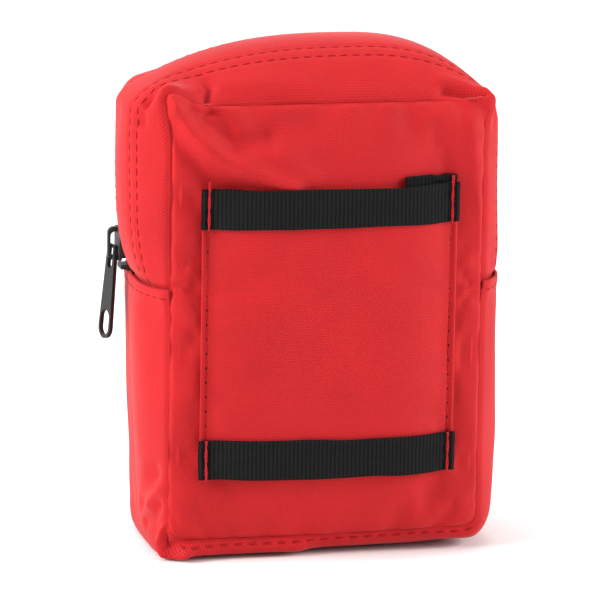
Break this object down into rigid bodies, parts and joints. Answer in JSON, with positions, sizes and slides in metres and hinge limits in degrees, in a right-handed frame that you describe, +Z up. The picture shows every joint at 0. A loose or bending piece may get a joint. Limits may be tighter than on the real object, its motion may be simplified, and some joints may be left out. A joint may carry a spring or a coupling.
{
  "type": "first aid kit",
  "caption": "Soft red zip pouch with a belt loop at the back, a fold-down lid and packed first aid contents.",
  "frame": {"origin": "middle of the base, on the surface that the pouch stands on", "axes": "+Z up, the lid faces -Y, the belt loop faces +Y, the zip slider is on the +X side"},
  "size_m": [0.1226, 0.0636, 0.154],
  "materials": {
    "red_cloth": "woven, slight sheen",
    "black_webbing": "ribbed webbing",
    "seam_binding": "woven tape",
    "zip_tape": "fine weave",
    "zip_teeth": "moulded coil",
    "slider_metal": "matte black enamel",
    "clip_metal": "satin",
    "bandage_cotton": "loose weave",
    "cohesive_weave": "crinkled",
    "spool_plastic": "smooth",
    "tape_cloth": "fine weave",
    "dressing_film": "crinkled film",
    "triangle_film": "crinkled film",
    "plaster_wrapper": "waxed",
    "gauze_wrapper": "matt",
    "wipe_foil": "foil paper",
    "shield_film": "clear film",
    "glove_bag": "crinkled film",
    "rescue_foil": "metallised film",
    "leaflet_paper": "matt",
    "steel": "brushed",
    "handle_plastic": "moulded"
  },
  "bodies": {
    "pouch": {"back_panel": "red_cloth", "front_panel_lower": "red_cloth", "lower_gusset": "red_cloth", "rear_zip_gusset": "red_cloth", "gusset_join_left": "red_cloth", "gusset_join_right": "red_cloth", "back_seam_binding": "seam_binding", "front_seam_binding_lower": "seam_binding", "zip_tape_rear": "zip_tape", "zip_teeth_rear": "zip_teeth", "zip_end_rows": "zip_teeth", "zip_end_stops": "clip_metal", "belt_loop_panel": "red_cloth", "webbing_top": "black_webbing", "webbing_bottom": "black_webbing", "bandage_roll_large": "bandage_cotton", "bandage_roll_medium": "bandage_cotton", "bandage_roll_standing": "bandage_cotton", "cohesive_bandage": "cohesive_weave", "tape_spool": "spool_plastic", "tape_roll": "tape_cloth", "tape_cover": "spool_plastic", "wound_dressing": "dressing_film", "triangular_bandage": "triangle_film", "plaster_strips": "plaster_wrapper", "gauze_packets": "gauze_wrapper", "wipe_sachets": "wipe_foil", "face_shield": "shield_film", "safety_pins": "steel", "gloves_packet": "glove_bag", "foil_blanket": "rescue_foil", "guide_leaflet": "leaflet_paper", "scissors_blade_fixed": "steel", "scissors_handle_fixed": "handle_plastic", "scissors_rivet": "steel", "tweezers_fixed_arm": "steel"},
    "front_flap": {"front_panel_upper": "red_cloth", "front_zip_gusset": "red_cloth", "zip_tape_front": "zip_tape", "zip_teeth_front": "zip_teeth", "front_seam_binding_upper": "seam_binding"},
    "slider": {"slider_body": "slider_metal", "slider_bridge": "slider_metal"},
    "pull": {"zip_pull": "slider_metal"},
    "scissors_arm": {"scissors_blade_moving": "steel", "scissors_handle_moving": "handle_plastic"},
    "tweezers_arm": {"tweezers_moving_arm": "steel"}
  },
  "joints": [
    {"name": "flap_open", "type": "hinge", "parent": "pouch", "child": "front_flap", "pos_m": [0, -0.028, 0.085], "axis": [1, 0, 0], "range_deg": [0, 115]},
    {"name": "zip_slide", "type": "slide", "parent": "pouch", "child": "slider", "axis": [0, 0, 1], "range_m": [0, 0.031]},
    {"name": "pull_swing", "type": "hinge", "parent": "slider", "child": "pull", "pos_m": [0.06, -0.008, 0.0924], "axis": [0.2756, -0.9613, 0], "range_deg": [-2, 115]},
    {"name": "scissors_pivot", "type": "hinge", "parent": "pouch", "child": "scissors_arm", "pos_m": [-0.01, -0.0236, 0.07], "axis": [0, 1, 0], "range_deg": [0, 35]},
    {"name": "tweezers_squeeze", "type": "hinge", "parent": "pouch", "child": "tweezers_arm", "pos_m": [-0.045, -0.0233, 0.1277], "axis": [0, 1, 0], "range_deg": [0, 4.2], "stiffness_Nm_per_rad": 0.2}
  ]
}
